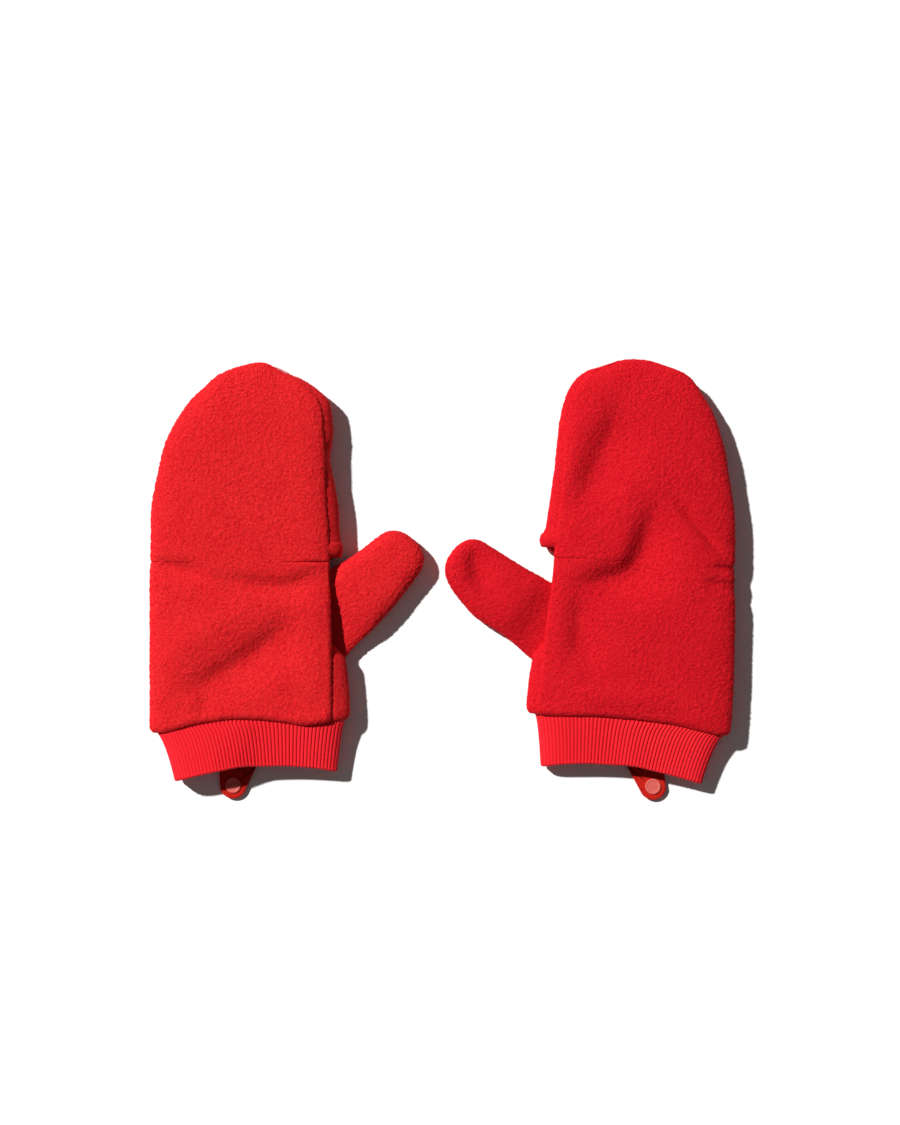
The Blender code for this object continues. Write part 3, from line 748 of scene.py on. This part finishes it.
def hood_hem(side, material):
    """The rolled hem of the hood's free edge. It shows as a soft knob on the thumb side."""
    knob, knob_half = HEM_KNOB[side]
    share = np.linspace(0, 1, 200)
    middle_v = np.full(share.shape, KNUCKLE + HEM_MIDDLE)
    angles = evenly(math.pi, 2 * math.pi + LAP_TURN * seam_angle(middle_v, side), share)
    path = palm_point(middle_v, angles, side, peek(KNUCKLE + 10, side))
    run = np.gradient(path[:, [0, 2]], axis=0)
    inwards = np.stack([-run[:, 1], run[:, 0]], axis=-1) / np.linalg.norm(run, axis=-1, keepdims=True)
    near_thumb = smooth((angles - math.radians(300)) / math.radians(35))[:, None]
    around = np.linspace(0, 2 * math.pi, 20, endpoint=False)[None, :]
    depth = 1.7 - between(2.0, 2.8, near_thumb) * np.sin(around)
    v = KNUCKLE + between(4.3, knob, near_thumb) + between(4.0, knob_half, near_thumb) * np.cos(around)
    u, z = (path[:, [k]] + inwards[:, [j]] * depth for k, j in ((0, 0), (2, 1)))
    points = np.stack([u, v + 0 * u, z], axis=-1)
    facing = normals_of(points)
    points = points - facing * nap(points, 20)[..., None] * 0.8
    points[..., 2] = np.maximum(points[..., 2], 0.0)
    piece = loop_band("hood_hem", side, points, material, ring=False)
    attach(piece, f"{side}_hood")
    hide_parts(f"{side}_hood_hem")


def thumb_half(side, material, back):
    size = (42, THUMB_LENGTH)
    low, high = (0, math.pi) if back else (math.pi, 2 * math.pi)

    def surface(a, b):
        s = between(THUMB_ROOT, THUMB_LENGTH - CLOSED, np.sin(b * math.pi / 2))
        return thumb_point(s, evenly(low, high, a, 20.0, 8.0, 2 / THUMB_POWER), side)

    def relief(points, a, b):
        left = (1 - np.sin(b * math.pi / 2)) * size[1]
        width = np.clip(3 * left, 3, size[0])
        creases = sum(stroke(points, *fold, side) for fold in THUMB_FOLDS[side]) if back else 0
        edges = curl(a * width, 2.5, 1.1) + curl((1 - a) * width, 2.5, 1.1)
        return between(-0.9, edges, smooth(left / 4)) + creases

    name = "thumb_back_cloth" if back else "thumb_palm_cloth"
    piece = sheet(name, side, surface, relief, (55, 95), FINE if back else COARSE, material, 60,
                  middle=THUMB_SEAM_HEIGHT)
    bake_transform(piece)
    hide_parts(*([f"{side}_thumb_back", f"{side}_thumb_seam"] if back else [f"{side}_thumb_palm"]))


def ring_band(name, side, place, angles, profile, material, body, node):
    """A band round the hand whose profile is a closed loop of (v, inset) pairs at each angle."""
    v, inset = profile
    points = place(v, angles[:, None] + 0 * inset, inset)
    piece = loop_band(name, side, points, material)
    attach(piece, body)
    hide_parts(node)
    return piece


def sleeve_point(v, angle, inset, side):
    points = body_point(KNUCKLE + 0 * v, angle, side, inset)
    points[..., 0] *= 1 - 4.5 / THUMB_EDGE
    points[..., 1] = v
    points[..., 2] += folds(points, side) * smooth((points[..., 2] - 8) / 5)
    return points


def sleeve_end(angle, side):
    drop = CROWN + 0.5 - body_point(KNUCKLE + 0 * angle, angle, side, SLEEVE_INSET)[..., 2]
    return KNUCKLE + np.sqrt(np.maximum(18.4**2 - drop**2, 4.0)) - 0.3


def rounded_loop(start, end, near, far, steps):
    """A closed loop of (v, inset) pairs round a strip from start to end, with round ends."""
    around = np.linspace(0, 2 * math.pi, steps, endpoint=False)
    v = between(start, end, 0.5 + 0.5 * signed_power(np.cos(around), 0.35))
    inset = between(near, far, 0.5 - 0.5 * signed_power(np.sin(around), 0.8))
    return v, inset


def finger_sleeve(side, fleece, rib):
    angles = np.linspace(0, 2 * math.pi, 240, endpoint=False)
    last = sleeve_end(angles, side)[:, None]
    deep = SLEEVE_INSET + SLEEVE_THICKNESS

    def place(v, angle, inset):
        points = sleeve_point(v, angle, inset, side)
        return points - normals_of(points) * nap(points, 70)[..., None] * 0.5

    loop = rounded_loop(SLEEVE_ROOT + 0 * last, last - BINDING_WIDTH, SLEEVE_INSET, deep, 48)
    ring_band("finger_sleeve_cloth", side, place, angles, loop, fleece, f"{side}_hand",
              f"{side}_finger_sleeve")

    def ribbed(v, angle, inset):
        return sleeve_point(v, angle, inset - 0.25 * np.abs(np.sin(angle * 60)), side)

    angles = np.linspace(0, 2 * math.pi, 720, endpoint=False)
    last = sleeve_end(angles, side)[:, None]
    loop = rounded_loop(last - BINDING_WIDTH - 0.4, last, SLEEVE_INSET - 0.1, deep + 0.5, 24)
    ring_band("finger_opening_rib", side, ribbed, angles, loop, rib, f"{side}_hand",
              f"{side}_finger_opening_binding")


def cuff(side, material):
    """The rib tube, folded double at its end. Its ribs are evenly spaced round the tube."""
    fine = np.linspace(0, 2 * math.pi, 4000)
    section = cuff_point(-105.0 + 0 * fine, fine, side)
    length = np.concatenate([[0], np.cumsum(np.linalg.norm(np.diff(section, axis=0), axis=1))])
    ribs = round(length[-1] / RIB_PITCH)
    along = np.linspace(0, 1, ribs * 8, endpoint=False)
    angles = np.interp(along * length[-1], length, fine)[:, None]
    ridge = RIB_HEIGHT * (np.sqrt(np.abs(np.sin(math.pi * ribs * along))) - 0.6)[:, None]
    turn = np.linspace(-math.pi / 2, math.pi / 2, 9)
    outer, inner = np.linspace(CUFF_TOP, CUFF_END + 1.2, 30), np.linspace(CUFF_END + 1.2, CUFF_TOP, 16)
    v = np.concatenate([outer, CUFF_END + 1.2 - 1.2 * np.cos(turn), inner])[None, :]
    half = CUFF_WALL / 2
    inset = np.concatenate([0 * outer, half + half * np.sin(turn), CUFF_WALL + 0 * inner])[None, :]
    outward = np.concatenate([1 + 0 * outer, -np.sin(turn), -1 + 0 * inner])[None, :]
    points = cuff_point(v + 0 * angles, angles + 0 * v, side, inset - ridge * outward)
    wave = 0.5 * noise(points * [1, 0.5, 1], 16, 80)
    points[..., 1] += wave * smooth((WRIST - v) / 20)
    points[..., 2] = np.maximum(points[..., 2] + wave * smooth((points[..., 2] - 4) / 8), 0.0)
    piece = loop_band("rib_cuff", side, points, material)
    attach(piece, f"{side}_hand")
    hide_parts(f"{side}_cuff")


# ---- The tab and its snap ----

# The snap's working half under the strap, as (radius, height) pairs from its axis round to its axis. It is a
# stud on the left mitten and a socket on the right one.
SNAP_BACK = {
    "left": (
        *((0, 1.7), (1.6, 1.7), (1.6, 2.9), (4.3, 2.9), (4.5, 2.6), (4.3, 2.0)),
        *((2.3, 1.5), (2.1, 1.3), (2.1, 0.5), (1.6, 0.0), (0, 0.0)),
    ),
    "right": (
        *((0, 1.6), (1.6, 1.6), (1.6, 2.9), (4.7, 2.9), (4.9, 2.6), (4.9, 0.5)),
        *((4.5, 0.0), (2.6, 0.0), (2.4, 0.3), (2.4, 1.3), (0, 1.3)),
    ),
}


def tab_place(points, side):
    """From the tab's frame, x along its fold and y away from it, to the mitten's."""
    c, w = math.cos(TAB_TURN), math.sin(TAB_TURN)
    u = FOLD_U[side] + points[..., 0] * c - points[..., 1] * w
    v = FOLD_V + points[..., 0] * w + points[..., 1] * c
    return np.stack([u, v, TAB_FLATTENING * points[..., 2]], axis=-1)


def run_between(start, end, step=0.8):
    """Points from one corner to the next, without the next."""
    count = max(2, round(math.dist(start, end) / step))
    return between(np.array(start), np.array(end), np.arange(count)[:, None] / count)


def plate(name, side, outline, material):
    """A flat strap with soft round edges, from its outline in the tab's frame."""
    run = np.roll(outline, -1, axis=0) - np.roll(outline, 1, axis=0)
    inwards = np.stack([-run[:, 1], run[:, 0]], axis=-1) / np.linalg.norm(run, axis=-1, keepdims=True)
    middle = outline.mean(axis=0)
    half, height = TAB_THICKNESS / 2, TAB_BOTTOM + TAB_THICKNESS / 2
    rings = []
    for angle in np.linspace(-math.pi / 2, math.pi / 2, 9):
        flat = outline + inwards * half * (1 - math.cos(angle))
        level = np.full((len(flat), 1), height + (half - 0.15) * math.sin(angle))
        rings.append(np.concatenate([flat, level], axis=1))
    for share in (0.7, 0.4, 0.1):
        rings.insert(0, between(np.append(middle, rings[0][0, 2]), rings[0], share))
        rings.append(between(np.append(middle, rings[-1][0, 2]), rings[-1], share))
    grid = tab_place(np.array(rings), side)
    return loop_band(name, side, grid, material, ring=False)


def tab(side, strap, snap_plastic):
    drift = SNAP_DRIFT[side]
    top = TAB_BOTTOM + TAB_THICKNESS
    arc = np.radians(np.linspace(184, 326, 60))
    end = np.stack([drift + TAB_ROUND * np.cos(arc), -FOLD_TO_SNAP + TAB_ROUND * np.sin(arc)], axis=-1)
    left, right = (-TAB_ROOT_HALF_WIDTH, -0.2), (TAB_ROOT_HALF_WIDTH, -0.2)
    sides = run_between(left, end[0]), end, run_between(end[-1], right), run_between(right, left)
    outline = np.concatenate(sides)
    piece = plate("snap_strap", side, outline, strap)
    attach(piece, f"{side}_tab")
    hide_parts(f"{side}_tab")

    near, far = (TAB_ROOT_HALF_WIDTH, 0.0), (TAB_ROOT_HALF_WIDTH + ANCHOR_DRIFT, ANCHOR_LENGTH)
    corners = [(-near[0], 0.0), near, far, (ANCHOR_DRIFT - near[0], ANCHOR_LENGTH)]
    outline = np.concatenate([run_between(a, b) for a, b in zip(corners, corners[1:] + corners[:1])])
    piece = plate("snap_strap_root", side, outline, strap)
    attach(piece, f"{side}_hand")
    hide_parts(f"{side}_tab_anchor")

    centre = tab_place(np.array([drift, -FOLD_TO_SNAP, 0.0]), side)[:2]
    rim_radius, rim_height = SNAP_CAP_RADIUS - 0.5, top + 0.75
    turn = np.linspace(0, math.pi, 9)
    rim = [(rim_radius + 0.5 * math.sin(t), rim_height + 0.45 * math.cos(t)) for t in turn]
    face = [(0, top + 1.0), (2.6, top + 0.98), (3.9, top + 0.9), (4.2, top + 1.12)]
    cap = [*face, *rim, (4.4, top + 0.1), (1.4, top), (1.4, 2.0), (0, 2.0)]
    half = "snap_stud" if side == "left" else "snap_socket"
    for name, node, profile in (("snap_disc", "snap_cap", cap), ("snap_back", half, SNAP_BACK[side])):
        profile = [(radius, TAB_FLATTENING * height) for radius, height in profile]
        piece = turned(name, side, profile, centre, snap_plastic)
        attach(piece, f"{side}_tab")
        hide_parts(f"{side}_{node}")


# ---- The stage ----


def stage():
    """A pale floor under a low sun. The backdrop is pale to the camera and dim as a light."""
    floor = bpy.data.meshes.new("floor")
    reach, level = 30.0, -0.0003
    corners = ((-reach, -reach), (reach, -reach), (reach, reach), (-reach, reach))
    floor.from_pydata([(x, y, level) for x, y in corners], [], [(0, 1, 2, 3)])
    material, tree, shader = new_material("pale_floor", 0.9)
    grain = textured(tree, "ShaderNodeTexNoise", 40)
    tone = ramped(tree, grain.outputs["Fac"], (0.90, 0.90, 0.90), (0.92, 0.92, 0.92))
    tree.links.new(tone, shader.inputs["Base Color"])
    shader.inputs["Specular IOR Level"].default_value = 0.0
    floor.materials.append(material)
    obj = bpy.data.objects.new("floor", floor)
    bpy.context.scene.collection.objects.link(obj)

    sun = bpy.data.lights.new("key", "SUN")
    sun.energy, sun.angle = 5.0, math.radians(2.5)
    key = bpy.data.objects.new("key", sun)
    key.rotation_euler = (0, math.radians(48), math.radians(142))
    bpy.context.scene.collection.objects.link(key)

    world = bpy.data.worlds.new("studio")
    world.use_nodes = True
    tree = world.node_tree
    background = tree.nodes["Background"]
    background.inputs["Color"].default_value = (1, 1, 1, 1)
    seen = tree.nodes.new("ShaderNodeLightPath")
    strength = tree.nodes.new("ShaderNodeMapRange")
    strength.inputs["To Min"].default_value = 0.09
    strength.inputs["To Max"].default_value = 0.95
    tree.links.new(seen.outputs["Is Camera Ray"], strength.inputs["Value"])
    tree.links.new(strength.outputs["Result"], background.inputs["Strength"])
    bpy.context.scene.world = world
    bpy.context.scene.view_settings.view_transform = "Standard"


def camera():
    """Straight above the pair, with the fingertips at the top of the picture. seen is the height in view."""
    height, seen = 1.6, 0.7425
    lens = bpy.data.cameras.new("camera")
    lens.sensor_fit = "VERTICAL"
    lens.sensor_height = 36
    lens.lens = lens.sensor_height * height / seen
    lens.clip_end = 50
    viewer = bpy.data.objects.new("camera", lens)
    viewer.location = (0.0046, 0.0116, height)
    bpy.context.scene.collection.objects.link(viewer)
    bpy.context.scene.camera = viewer


camera()
stage()
fleeces = {
    "left": fleece_material("fleece_left", (0.52, 0.003, 0.010), (0.74, 0.022, 0.023)),
    # The right mitten is the same cloth as the left; its colours are painted darker, as painted shade.
    "right": fleece_material("fleece_right_painted_shade", (0.44, 0.001, 0.009), (0.65, 0.011, 0.017)),
}
strap = fleece_material("felted_fleece", (0.40, 0.008, 0.006), (0.58, 0.018, 0.010))
rib = rib_material()
thread = thread_material()
snap_plastic = snap_material()
for side in SIDES:
    fleece = fleeces[side]
    hand_back(side, fleece)
    hand_palm(side, fleece)
    hood_top(side, fleece)
    hood_palm(side, fleece)
    hood_hem(side, fleece)
    thumb_half(side, fleece, back=True)
    thumb_half(side, fleece, back=False)
    finger_sleeve(side, fleece, rib)
    cuff(side, rib)
    tab(side, strap, snap_plastic)
for node, piece in frame["nodes"].items():
    if node.endswith("_seam"):
        piece.data.materials.clear()
        piece.data.materials.append(thread)
